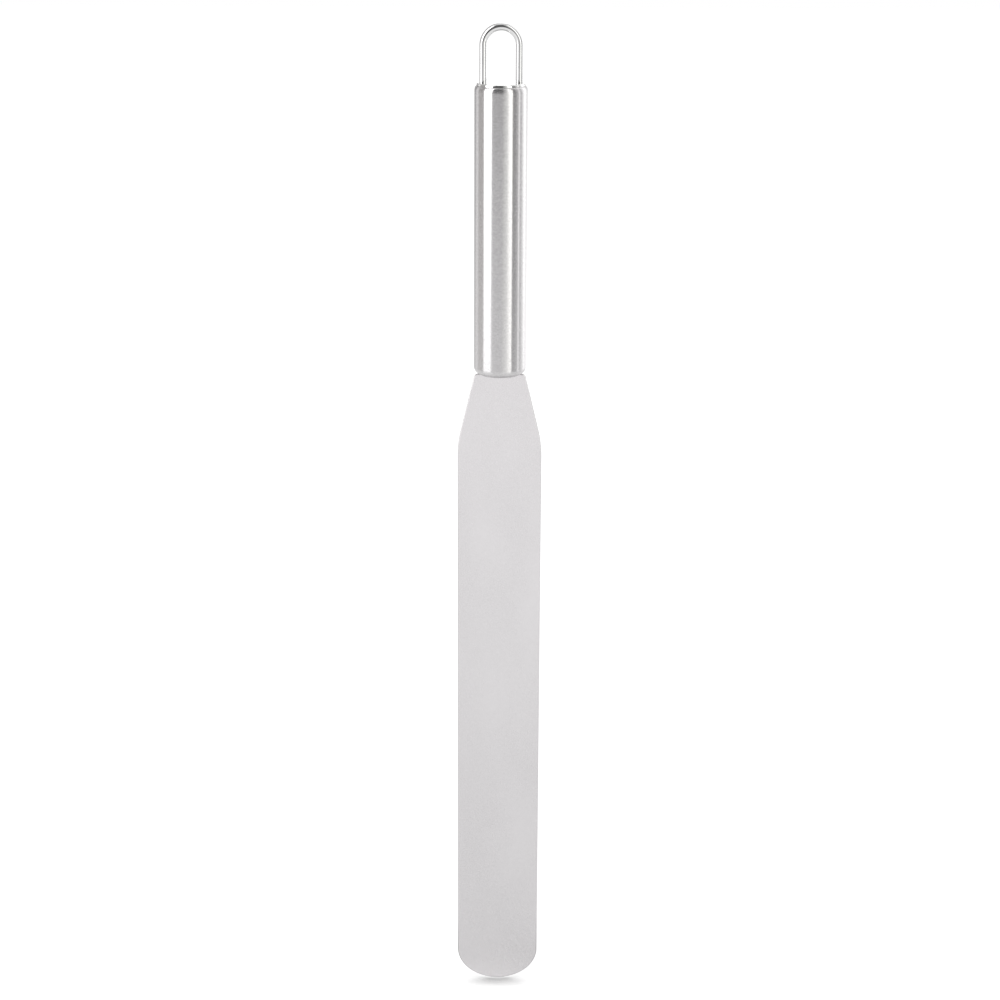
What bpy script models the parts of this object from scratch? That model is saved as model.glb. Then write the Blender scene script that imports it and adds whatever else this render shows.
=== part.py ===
"""Cake spatula: a flat steel blade in a round hollow handle with a wire hanging loop.

Metres, +Z up. The spatula hangs by its loop, as on a rail hook. The origin is the
place where the hook bears: the inside of the loop's crown. X runs across the blade,
and the blade's broad faces look along -Y and +Y.
"""

import math

import bmesh
import bpy

# Room between neighbouring pieces
clearance = 0.0003

# Overrun of every cutter past the faces that it cuts
cut_overrun = 0.001

# Handle tube, a cup drawn from sheet with a closed nose
tube_diameter = 0.0194
tube_length = 0.1063
tube_wall = 0.0009
nose_rounding_depth = 0.0034
nose_rounding_length = 0.0029
mouth_rounding_depth = 0.0008
mouth_rounding_length = 0.0022

# End cap, a turned plug with a low polished flange
cap_seat_width = 0.00015
cap_rise = 0.0010
cap_draft = 0.00012
cap_edge_depth = 0.0004
cap_edge_height = 0.0004
cap_plug_length = 0.0050
cap_foot_chamfer = 0.0004

# Hanging loop, one bent wire
wire_diameter = 0.0028
loop_rise = 0.0220
leg_edge_margin = 0.0006

# Weld buttons that close the wire's two holes from below
loop_weld_spread = 0.0005
loop_weld_height = 0.0011

# Blade, cut from flat strip
blade_length = 0.250
blade_width = 0.0314
blade_thickness = 0.0010
blade_edge_radius = 0.00035
neck_inset = 0.0001
neck_corner_radius = 0.0012
flare_angle = math.radians(13.45)
flare_blend_radius = 0.046
tip_length = 0.0128

# Tang, the blade's narrow end inside the handle
shoulder_step = 0.0034
tang_overrun = 0.0060

# Plug in the tube's nose that grips the tang
tang_plug_length = 0.0240
tang_plug_rear_chamfer = 0.0006

# Weld fillets between the plug and both faces of the tang
tang_weld_leg = 0.0018

# How finely curves are cut into flats
turned_steps = 72
plug_steps = 36
weld_steps = 16
rounding_steps = 5
wire_rounding = 6
arch_steps = 24
tip_steps = 36
blend_steps = 6
corner_steps = 4
dome_steps = 4
blade_edge_steps = 2
smooth_limit = math.radians(35)
rim_limit = math.radians(60)

# Sizes that follow from the ones above
tube_radius = tube_diameter / 2
bore_radius = tube_radius - tube_wall
wire_radius = wire_diameter / 2
wire_sides = 4 + 2 * wire_rounding
half_thickness = blade_thickness / 2
half_width = blade_width / 2
half_neck = tube_radius - neck_inset
half_tang = half_neck - shoulder_step
plug_radius = bore_radius - clearance
cap_radius = bore_radius + cap_seat_width
leg_x = plug_radius - leg_edge_margin - wire_radius
inner_arch_radius = leg_x - wire_radius
nose_inner_depth = max(nose_rounding_depth - tube_wall, clearance)
nose_inner_length = max(nose_rounding_length - tube_wall, clearance)

# Heights, counted down from the hook's bearing point
loop_top_z = wire_diameter
arch_centre_z = -inner_arch_radius
mouth_z = loop_top_z - loop_rise
nose_z = mouth_z - tube_length
cap_top_z = mouth_z + cap_rise
cap_foot_z = mouth_z - cap_plug_length
shoulder_z = nose_z - clearance
tip_z = nose_z - blade_length
tang_plug_front_z = nose_z + tube_wall + clearance
tang_plug_rear_z = tang_plug_front_z + tang_plug_length
tang_top_z = tang_plug_rear_z + tang_overrun


def remove_everything():
    """Take every object out of the open scene."""
    for thing in list(bpy.data.objects):
        bpy.data.objects.remove(thing, do_unlink=True)


def steel(name, colour, roughness):
    """A stainless steel finish."""
    material = bpy.data.materials.new(name)
    material.use_nodes = True
    shader = material.node_tree.nodes["Principled BSDF"]
    shader.inputs["Base Color"].default_value = (*colour, 1.0)
    shader.inputs["Metallic"].default_value = 1.0
    shader.inputs["Roughness"].default_value = roughness
    material.diffuse_color = (*colour, 1.0)
    return material


def add_piece(name, shape, material, place=(0.0, 0.0, 0.0)):
    """Turn a bmesh into a named object with its material, set at its place."""
    bmesh.ops.recalc_face_normals(shape, faces=shape.faces)
    mesh = bpy.data.meshes.new(name)
    shape.to_mesh(mesh)
    shape.free()
    mesh.shade_smooth()
    mesh.set_sharp_from_angle(angle=smooth_limit)
    mesh.materials.append(material)
    piece = bpy.data.objects.new(name, mesh)
    piece.location = place
    bpy.context.collection.objects.link(piece)
    return piece


def hide_cutter(cutter):
    """Mark an object as a tool that only cuts."""
    cutter.hide_render = True
    cutter.display_type = "WIRE"


def cut(piece, cutter):
    """Take the cutter's shape out of the piece."""
    hide_cutter(cutter)
    boolean = piece.modifiers.new("cut by " + cutter.name, "BOOLEAN")
    boolean.operation = "DIFFERENCE"
    boolean.solver = "EXACT"
    boolean.object = cutter


def corner_points(corner_r, corner_z, depth, length, start, steps):
    """Points of a quarter ellipse, from the angle start through a right angle.

    (corner_r, corner_z) is the ellipse's centre, depth its radial half axis and
    length its half axis along Z.
    """
    points = []
    for step in range(steps + 1):
        angle = start + math.pi / 2 * step / steps
        points.append((corner_r + depth * math.cos(angle), corner_z + length * math.sin(angle)))
    return points


def turned(profile, steps):
    """A body turned about Z from (radius, height) points that start and end on the axis."""
    shape = bmesh.new()
    rings = []
    for radius, height in profile:
        if radius == 0:
            rings.append([shape.verts.new((0, 0, height))])
            continue
        ring = []
        for step in range(steps):
            angle = 2 * math.pi * step / steps
            ring.append(shape.verts.new((radius * math.cos(angle), radius * math.sin(angle), height)))
        rings.append(ring)
    for lower, upper in zip(rings, rings[1:]):
        for step in range(steps):
            following = (step + 1) % steps
            if len(lower) == 1:
                shape.faces.new((lower[0], upper[following], upper[step]))
            elif len(upper) == 1:
                shape.faces.new((lower[step], lower[following], upper[0]))
            else:
                shape.faces.new((lower[step], lower[following], upper[following], upper[step]))
    return shape


def box_between(low, high):
    """A plain block between two corners."""
    shape = bmesh.new()
    bmesh.ops.create_cube(shape, size=1)
    for vert in shape.verts:
        for axis in range(3):
            vert.co[axis] = high[axis] if vert.co[axis] > 0 else low[axis]
    return shape


def slab(outline, thickness):
    """A flat body of the (x, z) outline, its thickness centred on the XZ plane."""
    shape = bmesh.new()
    front = [shape.verts.new((x, -thickness / 2, z)) for x, z in outline]
    back = [shape.verts.new((x, thickness / 2, z)) for x, z in outline]
    shape.faces.new(front)
    shape.faces.new(list(reversed(back)))
    for index in range(len(outline)):
        following = (index + 1) % len(outline)
        shape.faces.new((front[index], back[index], back[following], front[following]))
    return shape


def tang_slot_cutter(name, low_z, high_z):
    """A block a clearance larger than the tang on every side."""
    side_x = half_tang + clearance
    side_y = half_thickness + clearance
    shape = box_between((-side_x, -side_y, low_z), (side_x, side_y, high_z))
    return add_piece(name, shape, cutter_material)


def make_handle_tube():
    """The drawn handle: closed rounded nose with the tang's slot, open mouth above."""
    outer_nose = corner_points(
        tube_radius - nose_rounding_depth, nose_z + nose_rounding_length,
        nose_rounding_depth, nose_rounding_length, -math.pi / 2, rounding_steps)
    outer_mouth = corner_points(
        tube_radius - mouth_rounding_depth, mouth_z - mouth_rounding_length,
        mouth_rounding_depth, mouth_rounding_length, 0, rounding_steps)
    inner_nose = corner_points(
        bore_radius - nose_inner_depth, nose_z + tube_wall + nose_inner_length,
        nose_inner_depth, nose_inner_length, -math.pi / 2, rounding_steps)
    profile = [(0, nose_z)]
    profile += outer_nose
    profile += outer_mouth
    profile.append((bore_radius, mouth_z))
    profile += reversed(inner_nose)
    profile.append((0, nose_z + tube_wall))
    tube = add_piece("handle_tube", turned(profile, turned_steps), brushed_steel)
    slot = tang_slot_cutter("tube_slot_cutter", nose_z - cut_overrun, nose_z + tube_wall + cut_overrun)
    cut(tube, slot)
    return tube


def make_tang_plug():
    """The solid plug in the nose, slotted from end to end for the tang."""
    front = corner_points(
        plug_radius - nose_inner_depth, tang_plug_front_z + nose_inner_length,
        nose_inner_depth, nose_inner_length, -math.pi / 2, rounding_steps)
    profile = [(0, tang_plug_front_z)]
    profile += front
    profile.append((plug_radius, tang_plug_rear_z - tang_plug_rear_chamfer))
    profile.append((plug_radius - tang_plug_rear_chamfer, tang_plug_rear_z))
    profile.append((0, tang_plug_rear_z))
    plug = add_piece("tang_plug", turned(profile, plug_steps), hidden_steel)
    slot = tang_slot_cutter("plug_slot_cutter", tang_plug_front_z - cut_overrun, tang_plug_rear_z + cut_overrun)
    cut(plug, slot)
    return plug


def make_tang_welds():
    """A weld fillet on each face of the tang, lying on the plug's rear face."""
    seat_y = half_thickness + clearance
    seat_z = tang_plug_rear_z + clearance
    for side, name in ((-1, "tang_weld_front"), (1, "tang_weld_back")):
        shape = bmesh.new()
        ends = []
        for x in (-half_tang, half_tang):
            end = [shape.verts.new((x, side * seat_y, seat_z))]
            for step in range(rounding_steps + 1):
                angle = math.pi / 2 * step / rounding_steps
                hollow_y = seat_y + tang_weld_leg * (1 - math.sin(angle))
                hollow_z = seat_z + tang_weld_leg * (1 - math.cos(angle))
                end.append(shape.verts.new((x, side * hollow_y, hollow_z)))
            ends.append(end)
        left, right = ends
        shape.faces.new(left)
        shape.faces.new(list(reversed(right)))
        for index in range(len(left)):
            following = (index + 1) % len(left)
            shape.faces.new((left[index], right[index], right[following], left[following]))
        add_piece(name, shape, weld_steel)


def make_end_cap():
    """The turned cap: a flange on the tube's mouth, a plug in its bore, two wire holes."""
    rim = corner_points(
        cap_radius - cap_draft - cap_edge_depth, cap_top_z - cap_edge_height,
        cap_edge_depth, cap_edge_height, 0, rounding_steps)
    profile = [(0, cap_foot_z)]
    profile.append((plug_radius - cap_foot_chamfer, cap_foot_z))
    profile.append((plug_radius, cap_foot_z + cap_foot_chamfer))
    profile.append((plug_radius, mouth_z + clearance))
    profile.append((cap_radius, mouth_z + clearance))
    profile += rim
    profile.append((0, cap_top_z))
    cap = add_piece("end_cap", turned(profile, turned_steps), polished_steel)
    for side, name in ((-1, "left_hole_cutter"), (1, "right_hole_cutter")):
        shape = bmesh.new()
        bmesh.ops.create_cone(
            shape, cap_ends=True, segments=wire_sides, radius1=wire_radius + clearance,
            radius2=wire_radius + clearance, depth=cap_rise + cap_plug_length + 2 * cut_overrun)
        middle_z = (cap_top_z + cap_foot_z) / 2
        cut(cap, add_piece(name, shape, cutter_material, (side * leg_x, 0.0, middle_z)))
    return cap


def make_hanging_loop():
    """The U of round wire: two straight legs through the cap, and a half-round arch."""
    route = [(-leg_x, cap_foot_z)]
    for step in range(arch_steps + 1):
        angle = math.pi * (1 - step / arch_steps)
        route.append((leg_x * math.cos(angle), arch_centre_z + leg_x * math.sin(angle)))
    route.append((leg_x, cap_foot_z))
    curve = bpy.data.curves.new("hanging_loop", "CURVE")
    curve.dimensions = "3D"
    curve.bevel_depth = wire_radius
    curve.bevel_resolution = wire_rounding
    curve.use_fill_caps = True
    spline = curve.splines.new("POLY")
    spline.points.add(len(route) - 1)
    for point, (x, z) in zip(spline.points, route):
        point.co = (x, 0.0, z, 1.0)
    curve.materials.append(wire_steel)
    loop = bpy.data.objects.new("hanging_loop", curve)
    bpy.context.collection.objects.link(loop)
    return loop


def make_loop_welds():
    """A flat-topped weld button under each end of the wire."""
    seat_z = cap_foot_z - clearance
    loop_weld_radius = wire_radius + loop_weld_spread
    profile = [(0, -loop_weld_height)]
    for step in range(1, dome_steps):
        angle = math.pi / 2 * step / dome_steps
        profile.append((loop_weld_radius * math.sin(angle), -loop_weld_height * math.cos(angle)))
    profile.append((loop_weld_radius, 0))
    profile.append((0, 0))
    for side, name in ((-1, "loop_weld_left"), (1, "loop_weld_right")):
        add_piece(name, turned(profile, weld_steps), weld_steel, (side * leg_x, 0.0, seat_z))


def blade_half_outline():
    """The blade's right side as (x, z) points, from the tang's top down to the tip."""
    points = [(half_tang, tang_top_z), (half_tang, shoulder_z)]
    corner_x = half_neck - neck_corner_radius
    corner_z = shoulder_z - neck_corner_radius
    corner_turn = math.pi / 2 - flare_angle
    for step in range(corner_steps + 1):
        angle = math.pi / 2 - corner_turn * step / corner_steps
        points.append((corner_x + neck_corner_radius * math.cos(angle),
                       corner_z + neck_corner_radius * math.sin(angle)))
    flare_x, flare_z = points[-1]
    blend_radius = min(flare_blend_radius, (half_width - flare_x) / (1 - math.cos(flare_angle)))
    blend_centre_x = half_width - blend_radius
    blend_x = blend_centre_x + blend_radius * math.cos(flare_angle)
    blend_z = flare_z - (blend_x - flare_x) / math.tan(flare_angle)
    blend_centre_z = blend_z - blend_radius * math.sin(flare_angle)
    for step in range(blend_steps + 1):
        angle = flare_angle * (1 - step / blend_steps)
        points.append((blend_centre_x + blend_radius * math.cos(angle),
                       blend_centre_z + blend_radius * math.sin(angle)))
    quarter_steps = tip_steps // 2
    tip_centre_z = tip_z + tip_length
    for step in range(quarter_steps + 1):
        angle = math.pi / 2 * step / quarter_steps
        points.append((half_width * math.cos(angle), tip_centre_z - tip_length * math.sin(angle)))
    return points


def make_blade():
    """The blade and its tang in one strip, with rounded edges all round."""
    right = blade_half_outline()
    left = [(-x, z) for x, z in reversed(right[:-1])]
    blade = add_piece("blade", slab(right[:-1] + [(0.0, tip_z)] + left, blade_thickness), satin_steel)
    bevel = blade.modifiers.new("rounded edges", "BEVEL")
    bevel.width = blade_edge_radius
    bevel.segments = blade_edge_steps
    bevel.limit_method = "ANGLE"
    bevel.angle_limit = rim_limit
    return blade


remove_everything()
brushed_steel = steel("brushed handle steel", (0.60, 0.59, 0.58), 0.30)
satin_steel = steel("satin blade steel", (0.68, 0.67, 0.67), 0.38)
polished_steel = steel("polished cap steel", (0.78, 0.78, 0.78), 0.08)
wire_steel = steel("polished wire steel", (0.80, 0.80, 0.80), 0.06)
hidden_steel = steel("turned plug steel", (0.45, 0.45, 0.46), 0.45)
weld_steel = steel("weld steel", (0.38, 0.37, 0.36), 0.55)
cutter_material = steel("cutter", (0.8, 0.3, 0.3), 0.50)

make_handle_tube()
make_tang_plug()
make_tang_welds()
make_end_cap()
make_hanging_loop()
make_loop_welds()
make_blade()
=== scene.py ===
import math

import bmesh
import bpy
from mathutils import Matrix, Vector


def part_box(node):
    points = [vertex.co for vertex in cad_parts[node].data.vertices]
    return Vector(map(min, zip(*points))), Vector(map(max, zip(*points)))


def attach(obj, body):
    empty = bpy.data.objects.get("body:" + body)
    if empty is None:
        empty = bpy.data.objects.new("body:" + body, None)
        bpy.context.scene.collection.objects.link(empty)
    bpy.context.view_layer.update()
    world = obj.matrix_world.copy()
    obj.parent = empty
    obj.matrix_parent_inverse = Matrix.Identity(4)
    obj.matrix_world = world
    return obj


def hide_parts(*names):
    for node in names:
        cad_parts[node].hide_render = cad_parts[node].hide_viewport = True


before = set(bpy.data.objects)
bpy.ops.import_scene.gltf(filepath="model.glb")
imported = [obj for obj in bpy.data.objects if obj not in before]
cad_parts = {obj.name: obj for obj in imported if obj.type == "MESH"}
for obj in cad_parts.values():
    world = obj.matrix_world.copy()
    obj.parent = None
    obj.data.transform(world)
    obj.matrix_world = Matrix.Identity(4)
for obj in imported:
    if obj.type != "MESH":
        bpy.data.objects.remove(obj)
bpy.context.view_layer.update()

# Handle tube
# A cup drawn from stainless sheet, 19.4 mm across, with a closed, rounded nose slotted for the tang.
# It is brushed on a lathe, so the fine scratches run round it and smear reflections lengthwise.
tube_low, tube_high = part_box("handle_tube")
tube_radius = (tube_high.x - tube_low.x) / 2
mouth_z = tube_high.z
nose_z = tube_low.z
tube_wall = 0.0009
nose_rounding_depth = 0.0034
nose_rounding_length = 0.0029
mouth_rounding_depth = 0.0008
mouth_rounding_length = 0.0022
bore_radius = tube_radius - tube_wall
turned_steps = 240
rounding_steps = 14
tight_fit = 0.00003
end_spacing = 0.0002
sharp_limit = math.radians(30)


def quarter_round(centre_r, centre_z, depth, length, start):
    """Points of a quarter ellipse, counter-clockwise in the (radius, height) plane."""
    points = []
    for step in range(rounding_steps + 1):
        angle = start + math.pi / 2 * step / rounding_steps
        points.append((centre_r + depth * math.cos(angle), centre_z + length * math.sin(angle)))
    return points


def spaced(start, end, longest):
    """Points between start and end, one close to each so that both shade cleanly, the rest spread out."""
    (r0, z0), (r1, z1) = start, end
    length = math.hypot(r1 - r0, z1 - z0)
    count = math.ceil(length / longest)
    end_share = end_spacing / length
    shares = [end_share, *(step / count for step in range(1, count)), 1 - end_share]
    return [(r0 + (r1 - r0) * share, z0 + (z1 - z0) * share) for share in shares]


def turned(profile, steps):
    """A body turned about Z from (radius, height) points that start and end on the axis."""
    shape = bmesh.new()
    rings = []
    for radius, height in profile:
        if radius == 0:
            rings.append([shape.verts.new((0, 0, height))])
            continue
        ring = []
        for step in range(steps):
            angle = math.tau * step / steps
            ring.append(shape.verts.new((radius * math.cos(angle), radius * math.sin(angle), height)))
        rings.append(ring)
    for lower, upper in zip(rings, rings[1:]):
        for step in range(steps):
            following = (step + 1) % steps
            corners = [lower[step % len(lower)], lower[following % len(lower)],
                       upper[following % len(upper)], upper[step % len(upper)]]
            shape.faces.new(list(dict.fromkeys(corners)))
    return shape


def placed(name, shape):
    """A new object in the scene with the mesh of a bmesh, which is used up."""
    mesh = bpy.data.meshes.new(name)
    shape.to_mesh(mesh)
    shape.free()
    item = bpy.data.objects.new(name, mesh)
    bpy.context.collection.objects.link(item)
    return item


def finished(name, shape, material, slot, *nodes):
    """A smooth-shaded piece from a bmesh, which stands for the named nodes."""
    bmesh.ops.recalc_face_normals(shape, faces=shape.faces)
    piece = placed(name, shape)
    piece.data.shade_smooth()
    piece.data.set_sharp_from_angle(angle=sharp_limit)
    piece.data.materials.append(material)
    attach(piece, "root")
    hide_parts(*nodes)
    return piece


def cut_out(piece, shape, name):
    """Take a bmesh out of the piece for good."""
    bmesh.ops.recalc_face_normals(shape, faces=shape.faces)
    cutter = placed(name, shape)
    boolean = piece.modifiers.new(name, "BOOLEAN")
    boolean.object = cutter
    boolean.solver = "EXACT"
    bpy.context.view_layer.update()
    depsgraph = bpy.context.evaluated_depsgraph_get()
    result = bpy.data.meshes.new_from_object(piece.evaluated_get(depsgraph))
    piece.modifiers.clear()
    piece.data = result
    bpy.data.objects.remove(cutter)


class Nodes:
    """The nodes of one material or of the room, with the sums that they share."""

    def __init__(self, tree):
        self.nodes = tree.nodes
        self.links = tree.links

    def give(self, socket, value):
        """Give a socket a number, a colour or another node's value."""
        if isinstance(value, bpy.types.NodeSocket):
            self.links.new(value, socket)
        elif isinstance(value, tuple):
            socket.default_value = (*value, 1.0)
        else:
            socket.default_value = value

    def combined(self, operation, first, second):
        """Two values through one sum."""
        sum_node = self.nodes.new("ShaderNodeMath")
        sum_node.operation = operation
        self.give(sum_node.inputs[0], first)
        self.give(sum_node.inputs[1], second)
        return sum_node.outputs["Value"]

    def between(self, value, low, high, start=0.0, end=1.0):
        """A value mapped from start and end to low and high, and held there beyond them."""
        ranged = self.nodes.new("ShaderNodeMapRange")
        self.give(ranged.inputs["Value"], value)
        self.give(ranged.inputs["From Min"], start)
        self.give(ranged.inputs["From Max"], end)
        self.give(ranged.inputs["To Min"], low)
        self.give(ranged.inputs["To Max"], high)
        return ranged.outputs["Result"]


class Finish(Nodes):
    """A metal finish whose colour, roughness and bump come from nodes."""

    # Nearly all of a grain's values lie between these two
    faintest_grain = 0.3
    strongest_grain = 0.7

    def __init__(self, name):
        self.material = bpy.data.materials.new(name)
        self.material.use_nodes = True
        super().__init__(self.material.node_tree)
        self.shader = self.nodes["Principled BSDF"].inputs
        self.shader["Metallic"].default_value = 1.0
        self.place = self.nodes.new("ShaderNodeTexCoord").outputs["Object"]

    def grain(self, fineness, detail, rough=0.5):
        """Noise over the piece, with its fineness along X, Y and Z in turns per metre."""
        mapping = self.nodes.new("ShaderNodeMapping")
        mapping.inputs["Scale"].default_value = fineness
        noise = self.nodes.new("ShaderNodeTexNoise")
        noise.inputs["Scale"].default_value = 1.0
        noise.inputs["Detail"].default_value = detail
        noise.inputs["Roughness"].default_value = rough
        self.links.new(self.place, mapping.inputs["Vector"])
        self.links.new(mapping.outputs["Vector"], noise.inputs["Vector"])
        return noise.outputs["Fac"]

    def toned(self, grain, low, high):
        """A grain's values mapped to the range from low to high."""
        return self.between(grain, low, high, self.faintest_grain, self.strongest_grain)

    def blend(self, factor, first, second):
        """One colour fading into another."""
        mix = self.nodes.new("ShaderNodeMix")
        mix.data_type = "RGBA"
        self.give(mix.inputs["Factor"], factor)
        self.give(mix.inputs["A"], first)
        self.give(mix.inputs["B"], second)
        return mix.outputs["Result"]

    def painted(self, name):
        """A value that the mesh carries at its corners."""
        attribute = self.nodes.new("ShaderNodeAttribute")
        attribute.attribute_name = name
        return attribute.outputs["Fac"]

    def raised(self, height, depth):
        """A bump from a height map, with the depth of its marks in metres."""
        bump = self.nodes.new("ShaderNodeBump")
        bump.inputs["Distance"].default_value = depth
        bump.inputs["Strength"].default_value = 1.0
        self.links.new(height, bump.inputs["Height"])
        return bump.outputs["Normal"]

    def brushed_round(self, blur, turn):
        """Brush marks that run round the Z axis and blur reflections along it."""
        tangent = self.nodes.new("ShaderNodeTangent")
        tangent.direction_type = "RADIAL"
        tangent.axis = "Z"
        self.give(self.shader["Tangent"], tangent.outputs["Tangent"])
        self.shader["Anisotropic"].default_value = blur
        self.shader["Anisotropic Rotation"].default_value = turn


brush_blur = 0.95
brush_turn = 0.25
brush_scratch_fineness = (1300.0, 1300.0, 1700.0)
brush_hoop_fineness = (60.0, 60.0, 2600.0)
hand_smudge_fineness = (90.0, 90.0, 60.0)
scratch_share = 0.88
hoop_share = 0.12
brushed_dark = (0.568, 0.558, 0.563)
brushed_pale = (0.692, 0.682, 0.687)
brushed_roughness = (0.24, 0.27)
smudge_roughness = 0.005
brush_mark_depth = 0.000004

handle_finish = Finish("lathe brushed steel")
handle_finish.brushed_round(brush_blur, brush_turn)
scratches = handle_finish.grain(brush_scratch_fineness, detail=3.0, rough=0.6)
hoops = handle_finish.grain(brush_hoop_fineness, detail=3.0, rough=0.6)
smudges = handle_finish.grain(hand_smudge_fineness, detail=3.0)
brushing = handle_finish.combined("ADD", handle_finish.toned(scratches, 0.0, scratch_share),
                                  handle_finish.toned(hoops, 0.0, hoop_share))
handle_finish.give(handle_finish.shader["Base Color"],
                   handle_finish.blend(brushing, brushed_dark, brushed_pale))
handle_finish.give(handle_finish.shader["Roughness"], handle_finish.combined(
    "ADD", handle_finish.between(brushing, *brushed_roughness),
    handle_finish.toned(smudges, -smudge_roughness, smudge_roughness)))
handle_finish.give(handle_finish.shader["Normal"], handle_finish.raised(brushing, brush_mark_depth))

outer_nose = quarter_round(tube_radius - nose_rounding_depth, nose_z + nose_rounding_length,
                           nose_rounding_depth, nose_rounding_length, -math.pi / 2)
outer_mouth = quarter_round(tube_radius - mouth_rounding_depth, mouth_z - mouth_rounding_length,
                            mouth_rounding_depth, mouth_rounding_length, 0)
inner_nose = quarter_round(bore_radius - nose_rounding_depth + tube_wall, nose_z + nose_rounding_length,
                           nose_rounding_depth - tube_wall, nose_rounding_length - tube_wall, -math.pi / 2)
tube_profile = [(0, nose_z)]
tube_profile.append((outer_nose[0][0] - end_spacing, nose_z))
tube_profile += outer_nose
tube_profile += spaced(outer_nose[-1], outer_mouth[0], tube_radius)
tube_profile += outer_mouth
tube_profile.append((bore_radius, mouth_z))
tube_profile += reversed(inner_nose)
tube_profile.append((0, nose_z + tube_wall))
handle = finished("brushed_handle", turned(tube_profile, turned_steps), handle_finish.material,
                  "handle_steel", "handle_tube")

slot_half_height = 2 * tube_wall
half_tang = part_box("tang_weld_front")[1].x
blade_low, blade_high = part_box("blade")
half_thickness = (blade_high.y - blade_low.y) / 2
slot_shape = bmesh.new()
bmesh.ops.create_cube(slot_shape, size=2)
for vert in slot_shape.verts:
    vert.co.x *= half_tang + tight_fit
    vert.co.y *= half_thickness + tight_fit
    vert.co.z = nose_z + vert.co.z * slot_half_height
cut_out(handle, slot_shape, "tang slot")

# End cap
# A turned steel plug pressed into the tube's mouth, with a low polished flange that lies on the rim.
# Two holes near its edge take the wire's legs.
cap_low, cap_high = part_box("end_cap")
cap_radius = (cap_high.x - cap_low.x) / 2
cap_top_z = cap_high.z
cap_foot_z = cap_low.z
cap_plug_radius = bore_radius - tight_fit
cap_draft = 0.00012
cap_edge_depth = 0.0004
cap_edge_height = 0.0004
seam_width = 0.00004
seam_chamfer = 0.00006
foot_chamfer = 0.0004
wire_low, wire_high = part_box("hanging_loop")
wire_radius = (wire_high.y - wire_low.y) / 2
leg_x = wire_high.x - wire_radius
hole_radius = wire_radius + tight_fit
hole_steps = 64
hole_overrun = 0.001
cap_swirl_fineness = (700.0, 700.0, 700.0)
cap_haze_fineness = (160.0, 160.0, 160.0)
cap_dark = (0.74, 0.74, 0.74)
cap_pale = (0.80, 0.80, 0.79)
cap_roughness = (0.07, 0.12)
cap_wave_depth = 0.000006

cap_finish = Finish("polished cap steel")
cap_swirl = cap_finish.grain(cap_swirl_fineness, detail=4.0)
cap_haze = cap_finish.grain(cap_haze_fineness, detail=2.0)
cap_finish.give(cap_finish.shader["Base Color"],
                cap_finish.blend(cap_finish.toned(cap_haze, 0.0, 1.0), cap_dark, cap_pale))
cap_finish.give(cap_finish.shader["Roughness"], cap_finish.toned(cap_swirl, *cap_roughness))
cap_finish.give(cap_finish.shader["Normal"], cap_finish.raised(cap_haze, cap_wave_depth))

cap_rim = quarter_round(cap_radius - cap_draft - cap_edge_depth, cap_top_z - cap_edge_height,
                        cap_edge_depth, cap_edge_height, 0)
flange_z = mouth_z + seam_width
cap_profile = [(0, cap_foot_z)]
cap_profile.append((cap_plug_radius - foot_chamfer, cap_foot_z))
cap_profile.append((cap_plug_radius, cap_foot_z + foot_chamfer))
cap_profile.append((cap_plug_radius, flange_z))
cap_profile.append((cap_radius - seam_chamfer, flange_z))
cap_profile.append((cap_radius, flange_z + seam_chamfer))
cap_profile += cap_rim
cap_profile.append((cap_rim[-1][0] - end_spacing, cap_top_z))
cap_profile.append((0, cap_top_z))
cap = finished("polished_cap", turned(cap_profile, turned_steps), cap_finish.material,
               "cap_steel", "end_cap")
for side in (-1, 1):
    hole_shape = bmesh.new()
    bmesh.ops.create_cone(
        hole_shape, cap_ends=True, segments=hole_steps, radius1=hole_radius, radius2=hole_radius,
        depth=cap_top_z - cap_foot_z + 2 * hole_overrun,
        matrix=Matrix.Translation((side * leg_x, 0, (cap_top_z + cap_foot_z) / 2)))
    cut_out(cap, hole_shape, "wire hole")

# Hanging loop
# One length of 2.8 mm round wire, bent to a half-round arch with two straight legs and mirror
# polished. Its legs run down through the cap and are welded to it from below.
arch_centre_z = -(leg_x - wire_radius)
arch_steps = 72
wire_steps = 40
leg_steps = 12
wire_mark_fineness = (900.0, 900.0, 2600.0)
wire_haze_fineness = (220.0, 220.0, 220.0)
wire_dark = (0.70, 0.70, 0.70)
wire_pale = (0.76, 0.76, 0.76)
wire_roughness = (0.05, 0.09)
wire_wave_depth = 0.000005

loop_finish = Finish("mirror polished wire")
loop_marks = loop_finish.grain(wire_mark_fineness, detail=3.0)
loop_haze = loop_finish.grain(wire_haze_fineness, detail=2.0)
loop_finish.give(loop_finish.shader["Base Color"],
                 loop_finish.blend(loop_finish.toned(loop_haze, 0.0, 1.0), wire_dark, wire_pale))
loop_finish.give(loop_finish.shader["Roughness"], loop_finish.toned(loop_marks, *wire_roughness))
loop_finish.give(loop_finish.shader["Normal"], loop_finish.raised(loop_haze, wire_wave_depth))


def leg(side):
    """Places up one leg of the wire, each with the direction towards the loop's inside."""
    places = []
    for step in range(leg_steps):
        height = wire_low.z + (arch_centre_z - wire_low.z) * step / leg_steps
        places.append((Vector((side * leg_x, 0, height)), Vector((-side, 0, 0))))
    return places


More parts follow.
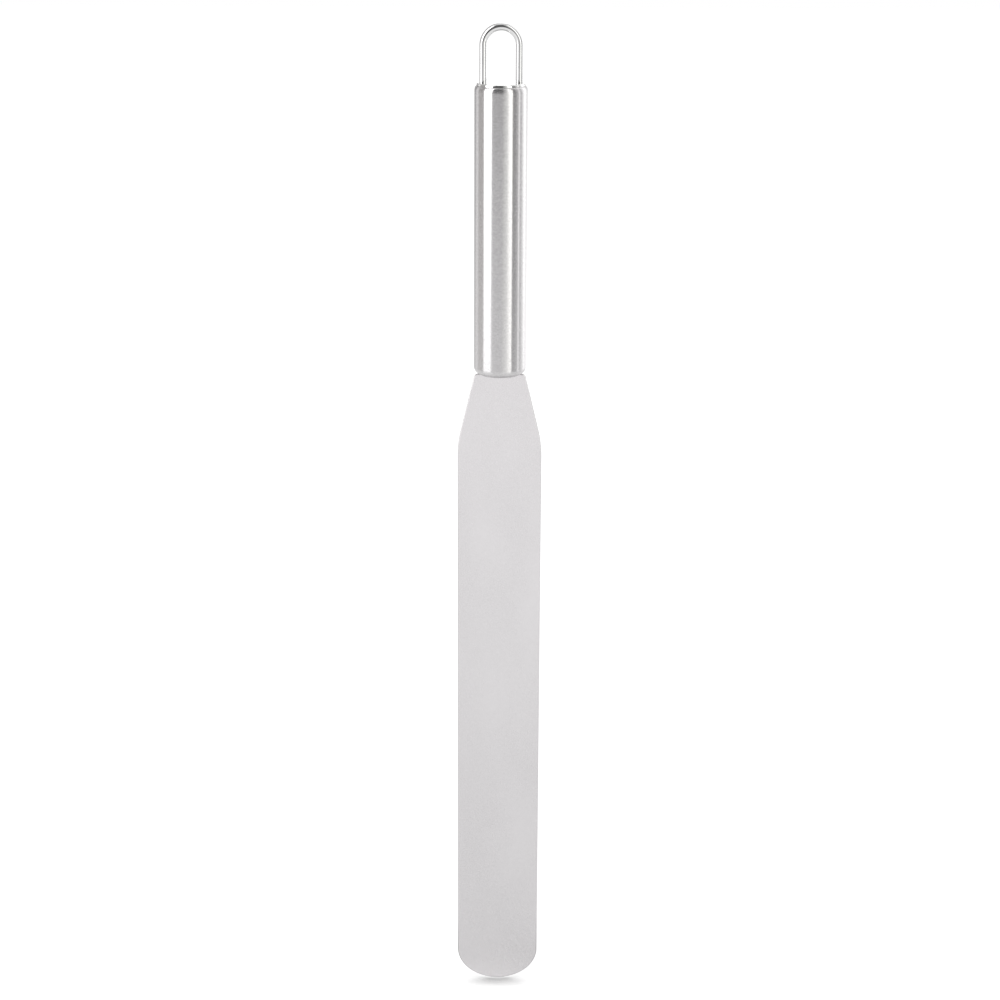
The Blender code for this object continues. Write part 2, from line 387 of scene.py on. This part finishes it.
route = leg(-1)
for step in range(arch_steps + 1):
    angle = math.pi * (1 - step / arch_steps)
    outward = Vector((math.cos(angle), 0, math.sin(angle)))
    route.append((Vector((0, 0, arch_centre_z)) + leg_x * outward, -outward))
route += reversed(leg(1))
loop_shape = bmesh.new()
wire_rings = []
for centre, inward in route:
    ring = []
    for step in range(wire_steps):
        angle = math.tau * step / wire_steps
        offset = inward * math.cos(angle) + Vector((0, 1, 0)) * math.sin(angle)
        ring.append(loop_shape.verts.new(centre + wire_radius * offset))
    wire_rings.append(ring)
for first, second in zip(wire_rings, wire_rings[1:]):
    for step in range(wire_steps):
        following = (step + 1) % wire_steps
        loop_shape.faces.new((first[step], first[following], second[following], second[step]))
loop_shape.faces.new(wire_rings[0])
loop_shape.faces.new(wire_rings[-1])
finished("polished_loop", loop_shape, loop_finish.material, "wire_steel", "hanging_loop")

# Blade
# A strip of spring-hard stainless sheet, 1 mm thick, cut to shape with a broad rounded tip and ground
# to a fine satin. Its rounded edges are rubbed smoother than its faces and carry a painted shade that is
# darkest round the tip, and its tang is in the handle.
tip_z = blade_low.z
tang_top_z = blade_high.z
half_width = blade_high.x
shoulder_z = nose_z - tight_fit
neck_inset = 0.0001
half_neck = tube_radius - neck_inset
neck_corner_radius = 0.0012
flare_angle = math.radians(13.45)
flare_blend_radius = 0.046
flare_spacing = 0.0024
tip_length = 0.0128
edge_radius = 0.00035
edge_steps = 5
corner_steps = 10
blend_steps = 16
tip_steps = 64
sharpest_bisector_share = 0.5


def blade_side():
    """The blade's right side as (x, z) points, from the tang's top down to the tip."""
    points = [(half_tang, tang_top_z), (half_tang, shoulder_z)]
    corner_x = half_neck - neck_corner_radius
    corner_z = shoulder_z - neck_corner_radius
    corner_turn = math.pi / 2 - flare_angle
    for step in range(corner_steps + 1):
        angle = math.pi / 2 - corner_turn * step / corner_steps
        points.append((corner_x + neck_corner_radius * math.cos(angle),
                       corner_z + neck_corner_radius * math.sin(angle)))
    flare_x, flare_z = points[-1]
    blend_centre_x = half_width - flare_blend_radius
    blend_x = blend_centre_x + flare_blend_radius * math.cos(flare_angle)
    blend_z = flare_z - (blend_x - flare_x) / math.tan(flare_angle)
    blend_centre_z = blend_z - flare_blend_radius * math.sin(flare_angle)
    points += spaced((flare_x, flare_z), (blend_x, blend_z), flare_spacing)
    for step in range(blend_steps + 1):
        angle = flare_angle * (1 - step / blend_steps)
        points.append((blend_centre_x + flare_blend_radius * math.cos(angle),
                       blend_centre_z + flare_blend_radius * math.sin(angle)))
    tip_centre_z = tip_z + tip_length
    points += spaced(points[-1], (half_width, tip_centre_z), half_width)
    for step in range(tip_steps + 1):
        angle = math.pi / 2 * step / tip_steps
        points.append((half_width * math.cos(angle), tip_centre_z - tip_length * math.sin(angle)))
    return points


def inset(points, distance):
    """The outline drawn in by a distance, each corner along its bisector."""
    moved = []
    for before, here, after in zip(points[-1:] + points[:-1], points, points[1:] + points[:1]):
        first = (here - before).normalized()
        second = (after - here).normalized()
        inward_first = Vector((first.y, -first.x))
        inward_second = Vector((second.y, -second.x))
        bisector = (inward_first + inward_second).normalized()
        bisector_share = max(bisector.dot(inward_first), sharpest_bisector_share)
        moved.append(here + bisector * distance / bisector_share)
    return moved


def held(value):
    """The value, held between zero and one."""
    return min(max(value, 0), 1)


right_side = blade_side()[:-1]
outline = [Vector((x, z)) for x, z in right_side]
outline.append(Vector((0, tip_z)))
outline += [Vector((-x, z)) for x, z in reversed(right_side)]

# Each face gets the rings of its rounded edge, and one more close inside that keeps its flat clean.
# Every corner also says how rubbed it is, and how much painted shade it gets,
# from none at the neck to full at the tip.
unshaded_neck = 0.004
side_shade_share = 0.22
blade_shape = bmesh.new()
rubbed_layer = blade_shape.verts.layers.float.new("edge_polish")
shade_layer = blade_shape.verts.layers.float.new("edge_painted_shade")
blade_rings = []
for face_side in (-1, 1):
    side_rings = []
    for step in range(edge_steps + 2):
        angle = math.pi / 2 * min(step / edge_steps, 1)
        drawn_in = edge_radius * (1 - math.cos(angle))
        if step > edge_steps:
            drawn_in += end_spacing
        depth = half_thickness - edge_radius * (1 - math.sin(angle))
        ring = []
        for point in inset(outline, drawn_in):
            vert = blade_shape.verts.new((point.x, face_side * depth, point.y))
            below_neck = held((shoulder_z - point.y) / unshaded_neck - 1)
            round_tip = 1 - held((point.y - tip_z) / tip_length - 1)
            shade_share = side_shade_share + (1 - side_shade_share) * round_tip
            vert[rubbed_layer] = math.cos(angle)
            vert[shade_layer] = math.cos(angle) * below_neck * shade_share
            ring.append(vert)
        side_rings.append(ring)
    blade_rings += side_rings if face_side == 1 else list(reversed(side_rings))
for first, second in zip(blade_rings, blade_rings[1:]):
    for index in range(len(first)):
        following = (index + 1) % len(first)
        blade_shape.faces.new((first[index], first[following], second[following], second[index]))
blade_shape.faces.new(blade_rings[0])
blade_shape.faces.new(blade_rings[-1])

satin_pebble_fineness = (900.0, 900.0, 900.0)
satin_speck_fineness = (3400.0, 3400.0, 3400.0)
satin_cloud_fineness = (45.0, 45.0, 22.0)
pebble_share = 0.3
cloud_share = 0.7
satin_dark = (0.675, 0.659, 0.668)
satin_pale = (0.730, 0.714, 0.723)
# The colour that the rounded edges' painted shade fades to
edge_painted_shade_colour = (0.09, 0.088, 0.09)
satin_roughness = (0.265, 0.295)
cloud_roughness = 0.01
rubbed_roughness = 0.14
pebble_depth = 0.000004

blade_finish = Finish("satin blade steel")
blade_pebble = blade_finish.grain(satin_pebble_fineness, detail=2.0)
blade_specks = blade_finish.grain(satin_speck_fineness, detail=2.0)
blade_cloud = blade_finish.grain(satin_cloud_fineness, detail=3.0)
blade_tone = blade_finish.combined("ADD", blade_finish.toned(blade_pebble, 0.0, pebble_share),
                                   blade_finish.toned(blade_cloud, 0.0, cloud_share))
satin_colour = blade_finish.blend(blade_tone, satin_dark, satin_pale)
# The edges fade to a painted shade, none at the neck and most round the tip
blade_finish.give(blade_finish.shader["Base Color"],
                  blade_finish.blend(blade_finish.painted("edge_painted_shade"), satin_colour, edge_painted_shade_colour))
blade_roughness = blade_finish.combined(
    "ADD", blade_finish.toned(blade_specks, *satin_roughness),
    blade_finish.toned(blade_cloud, -cloud_roughness, cloud_roughness))
rubbed = blade_finish.combined("MULTIPLY", blade_finish.painted("edge_polish"), rubbed_roughness)
blade_finish.give(blade_finish.shader["Roughness"],
                  blade_finish.combined("SUBTRACT", blade_roughness, rubbed))
blade_finish.give(blade_finish.shader["Normal"], blade_finish.raised(blade_pebble, pebble_depth))
finished("satin_blade", blade_shape, blade_finish.material, "blade_steel", "blade")

# Tang plug
# The turned and slotted plug inside the nose that grips the tang. It is bare steel as it left the
# lathe, so it keeps the tool's fine rings.
plug_ring_fineness = (30.0, 30.0, 6000.0)
plug_dark = (0.40, 0.40, 0.41)
plug_pale = (0.50, 0.50, 0.51)
plug_roughness = (0.38, 0.52)
plug_ring_depth = 0.00002

plug_finish = Finish("turned plug steel")
plug_rings = plug_finish.grain(plug_ring_fineness, detail=2.0)
plug_finish.give(plug_finish.shader["Base Color"], plug_finish.blend(plug_rings, plug_dark, plug_pale))
plug_finish.give(plug_finish.shader["Roughness"], plug_finish.toned(plug_rings, *plug_roughness))
plug_finish.give(plug_finish.shader["Normal"], plug_finish.raised(plug_rings, plug_ring_depth))
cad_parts["tang_plug"].data.materials.clear()
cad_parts["tang_plug"].data.materials.append(plug_finish.material)

# Welds
# Two fillets hold the tang to its plug, and two buttons close the wire's holes under the cap.
# They are left as welded: dull, rippled and tinted by the heat.
weld_ripple_fineness = (1800.0, 1800.0, 1800.0)
weld_tint_fineness = (400.0, 400.0, 400.0)
weld_straw = (0.40, 0.36, 0.32)
weld_blue = (0.34, 0.35, 0.40)
weld_roughness = (0.45, 0.65)
weld_ripple_depth = 0.00008

weld_finish = Finish("weld steel")
weld_ripples = weld_finish.grain(weld_ripple_fineness, detail=3.0)
weld_tint = weld_finish.grain(weld_tint_fineness, detail=2.0)
weld_finish.give(weld_finish.shader["Base Color"],
                 weld_finish.blend(weld_finish.toned(weld_tint, 0.0, 1.0), weld_straw, weld_blue))
weld_finish.give(weld_finish.shader["Roughness"], weld_finish.toned(weld_ripples, *weld_roughness))
weld_finish.give(weld_finish.shader["Normal"], weld_finish.raised(weld_ripples, weld_ripple_depth))
for weld in ("tang_weld_front", "tang_weld_back", "loop_weld_left", "loop_weld_right"):
    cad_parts[weld].data.materials.clear()
    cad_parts[weld].data.materials.append(weld_finish.material)

# Floor and backdrop
# A white sweep of matt board that the blade's tip all but meets, in a white room. To the camera it is
# lifted to white, and the soft, narrow shadow just in front of the tip is partly cast and partly painted
# into its colour and glow.
# Steel mirrors it brighter close to the tip and far away than it does in between.
tip_gap = 0.0003
floor_z = tip_z - tip_gap
floor_size = 8.0
floor_brightness = 0.90
floor_lift = 0.40
room_light = 0.85
mirrored_tip_share = 0.80
mirrored_near_share = 0.34
mirrored_far_share = 0.56
mirrored_near_distance = 0.024
mirrored_far_distance = 0.40
contact_reach = 0.0075
contact_open_share = 0.42
contact_lift_share = 0.05
painted_shadow_colour_share = 0.80
shadow_start = 0.0004
shadow_full = 0.0009
shadow_half_width = 0.008
shadow_curve_depth = 0.003
light_from = (0.0, 0.6, 0.8)


def emptied(name):
    """A new material without nodes, and its node tree to build on."""
    material = bpy.data.materials.new(name)
    material.use_nodes = True
    material.node_tree.nodes.clear()
    return material, Nodes(material.node_tree)


def seen_directly(tree, mirrored_share=1.0, camera_share=1.0):
    """One share for a ray from the camera, another for a shiny or clear surface's, and none for others."""
    path = tree.nodes.new("ShaderNodeLightPath").outputs
    mirrored = tree.combined("MAXIMUM", path["Is Glossy Ray"], path["Is Transmission Ray"])
    mirrored = tree.combined("MULTIPLY", mirrored, mirrored_share)
    from_camera = tree.combined("MULTIPLY", path["Is Camera Ray"], camera_share)
    return tree.combined("MAXIMUM", from_camera, mirrored)


floor_material, sweep = emptied("white sweep")
floor_place = sweep.nodes.new("ShaderNodeTexCoord").outputs["Object"]
floor_axes = sweep.nodes.new("ShaderNodeSeparateXYZ")
sweep.links.new(floor_place, floor_axes.inputs["Vector"])

# How open each place is to the light that comes over the blade from behind
behind = sweep.nodes.new("ShaderNodeCombineXYZ")
for socket, part in zip(behind.inputs, light_from):
    socket.default_value = part
contact = sweep.nodes.new("ShaderNodeAmbientOcclusion")
contact.inputs["Distance"].default_value = contact_reach
sweep.links.new(behind.outputs["Vector"], contact.inputs["Normal"])
openness = sweep.between(contact.outputs["AO"], 0.0, 1.0, contact_open_share, 1.0)

# The painted shadow lies only in front of a curve through the tip, and only the camera sees it
aside_squared = sweep.combined("MULTIPLY", floor_axes.outputs["X"], floor_axes.outputs["X"])
curve = sweep.between(aside_squared, 0.0, shadow_curve_depth, 0.0, shadow_half_width ** 2)
in_front = sweep.combined("SUBTRACT", curve, floor_axes.outputs["Y"])
in_shadow = sweep.between(in_front, 0.0, 1.0, shadow_start, shadow_full)
seen_shadow = sweep.combined("MULTIPLY", in_shadow,
                             sweep.nodes.new("ShaderNodeLightPath").outputs["Is Camera Ray"])
openness = sweep.between(seen_shadow, 1.0, openness)

# How bright steel mirrors the floor, by the distance from the tip
from_tip = sweep.nodes.new("ShaderNodeVectorMath")
from_tip.operation = "LENGTH"
sweep.links.new(floor_place, from_tip.inputs[0])
distance = from_tip.outputs["Value"]
near_share = sweep.between(distance, mirrored_tip_share, mirrored_near_share, 0.0, mirrored_near_distance)
far_share = sweep.between(distance, mirrored_near_share, mirrored_far_share, 0.0, mirrored_far_distance)
mirrored_share = sweep.combined("MAXIMUM", near_share, far_share)

# The camera's lift drops where the shadow is painted
camera_share = sweep.between(openness, contact_lift_share, 1.0)
lift = sweep.combined("MULTIPLY", seen_directly(sweep, mirrored_share, camera_share), floor_lift)
# Painted shadow: the floor's colour darkens where the blade closes it in
floor_tone = sweep.between(openness, floor_brightness * painted_shadow_colour_share, floor_brightness)
matt = sweep.nodes.new("ShaderNodeBsdfDiffuse")
glow = sweep.nodes.new("ShaderNodeEmission")
both = sweep.nodes.new("ShaderNodeAddShader")
floor_output = sweep.nodes.new("ShaderNodeOutputMaterial")
sweep.links.new(floor_tone, matt.inputs["Color"])
sweep.links.new(lift, glow.inputs["Strength"])
sweep.links.new(matt.outputs["BSDF"], both.inputs[0])
sweep.links.new(glow.outputs["Emission"], both.inputs[1])
sweep.links.new(both.outputs["Shader"], floor_output.inputs["Surface"])

floor_shape = bmesh.new()
bmesh.ops.create_grid(floor_shape, x_segments=1, y_segments=1, size=floor_size / 2)
floor = placed("floor", floor_shape)
floor.data.materials.append(floor_material)
floor.location.z = floor_z

world = bpy.data.worlds.new("white room")
bpy.context.scene.world = world
world.use_nodes = True
room = Nodes(world.node_tree)
background = room.nodes["Background"].inputs
background["Color"].default_value = (1.0, 1.0, 1.0, 1.0)
room.give(background["Strength"], room.between(seen_directly(room), room_light, 1.0))

# Studio cards
# Tall curved panels of board stand on the floor round the spatula, under a pale ceiling. Only the
# steel sees them: the bright ones give it its bands of light, and the greys between them its depth.
card_distance = 0.9
card_height = 2.1
card_knee_height = 0.12
card_knee_share = 0.62
card_fade_height = 0.39
card_step = math.radians(3)
ceiling_brightness = 0.8
ceiling_sides = 48
# Each is its start and end in degrees round from the camera's side, its brightness at its start and
# its end down by the floor, the same two above the fade height, and its tint.
cards = {
    "card_camera_side": (-40, 8, 1.52, 1.52, 0.13, 0.13, (1.0, 0.99, 1.0)),
    "card_camera_right": (8, 30, 1.52, 1.40, 0.22, 0.98, (1.0, 1.0, 0.98)),
    "card_right_strip": (30, 50, 1.00, 2.20, 1.65, 2.60, (1.0, 1.0, 0.97)),
    "card_right_dark": (50, 67, 0.32, 0.32, 0.28, 0.34, (1.0, 0.99, 0.995)),
    "card_right_mid": (67, 82, 0.34, 0.50, 0.48, 0.80, (1.0, 0.99, 0.995)),
    "card_right_line": (82, 89, 1.80, 1.70, 1.60, 1.05, (1.0, 0.99, 0.995)),
    "card_right_grey": (89, 102, 0.75, 0.75, 0.56, 0.85, (1.0, 0.99, 0.995)),
    "card_right_rise": (102, 118, 0.90, 1.20, 1.10, 1.85, (1.0, 1.0, 1.0)),
    "card_back_right": (118, 136, 1.75, 1.85, 1.95, 1.45, (1.0, 1.0, 1.0)),
    "card_back": (136, 164, 1.65, 1.45, 0.84, 0.95, (1.0, 1.0, 1.0)),
    "card_back_left": (164, 190, 1.15, 1.15, 1.55, 1.55, (1.0, 1.0, 1.0)),
    "card_far_left": (-170, -150, 0.95, 0.88, 0.66, 0.56, (1.0, 0.99, 0.995)),
    "card_left_back": (-150, -134, 0.84, 0.84, 0.40, 0.40, (1.0, 0.99, 0.995)),
    "card_left_pale": (-134, -113, 1.00, 0.95, 0.88, 0.98, (1.0, 0.99, 0.99)),
    "card_left_brown": (-113, -77.5, 0.85, 0.80, 0.50, 0.43, (1.0, 0.97, 0.95)),
    "card_left_soft": (-77.5, -40, 1.35, 1.35, 2.95, 2.95, (1.0, 1.0, 1.0)),
}


def beside(angle, height):
    """A place on the cards' circle, at an angle round from the camera's side."""
    return (card_distance * math.sin(angle), -card_distance * math.cos(angle), floor_z + height)


def glowing_card(name, shape, tint):
    """A card that only shiny surfaces see, as bright as its corners' brightness values."""
    material, tree = emptied(name)
    level = tree.nodes.new("ShaderNodeAttribute")
    level.attribute_name = "brightness"
    shine = tree.nodes.new("ShaderNodeEmission")
    shine.inputs["Color"].default_value = (*tint, 1.0)
    output = tree.nodes.new("ShaderNodeOutputMaterial")
    tree.links.new(level.outputs["Fac"], shine.inputs["Strength"])
    tree.links.new(shine.outputs["Emission"], output.inputs["Surface"])
    card = placed(name, shape)
    card.data.materials.append(material)
    card.visible_camera = False
    card.visible_diffuse = False
    card.visible_shadow = False


for name, (start, end, low_start, low_end, high_start, high_end, tint) in cards.items():
    card_shape = bmesh.new()
    brightness = card_shape.verts.layers.float.new("brightness")
    count = math.ceil(math.radians(end - start) / card_step)
    columns = []
    for step in range(count + 1):
        angle = math.radians(start + (end - start) * step / count)
        low_level = low_start + (low_end - low_start) * step / count
        high_level = high_start + (high_end - high_start) * step / count
        knee_level = high_level + (low_level - high_level) * card_knee_share
        column = []
        for height, level in ((0, low_level), (card_knee_height, knee_level),
                              (card_fade_height, high_level), (card_height, high_level)):
            vert = card_shape.verts.new(beside(angle, height))
            vert[brightness] = level
            column.append(vert)
        columns.append(column)
    for left, right in zip(columns, columns[1:]):
        for lower in range(len(left) - 1):
            card_shape.faces.new((left[lower], right[lower], right[lower + 1], left[lower + 1]))
    glowing_card(name, card_shape, tint)

ceiling_shape = bmesh.new()
ceiling_level = ceiling_shape.verts.layers.float.new("brightness")
ceiling_rim = []
for side in range(ceiling_sides):
    vert = ceiling_shape.verts.new(beside(math.tau * side / ceiling_sides, card_height))
    vert[ceiling_level] = ceiling_brightness
    ceiling_rim.append(vert)
ceiling_shape.faces.new(ceiling_rim)
glowing_card("card_ceiling", ceiling_shape, (1.0, 1.0, 1.0))

# Camera
# It stands 0.85 m in front of the handle and a little above it, tipped down, with a long lens.
camera_distance = 0.85
camera_rise = 0.1087
camera_height = mouth_z + camera_rise
camera_aside = 0.00026
camera_pitch = math.radians(17.26)
camera_roll = math.radians(0.27)
sensor_millimetres = 36.0
lens_millimetres = 84.94

camera_data = bpy.data.cameras.new("camera")
camera_data.sensor_width = sensor_millimetres
camera_data.lens = lens_millimetres
camera = bpy.data.objects.new("camera", camera_data)
camera.matrix_world = (Matrix.Translation((camera_aside, -camera_distance, camera_height))
                       @ Matrix.Rotation(math.pi / 2 - camera_pitch, 4, "X")
                       @ Matrix.Rotation(camera_roll, 4, "Z"))
bpy.context.collection.objects.link(camera)
bpy.context.scene.camera = camera
bpy.context.scene.view_settings.view_transform = "Standard"
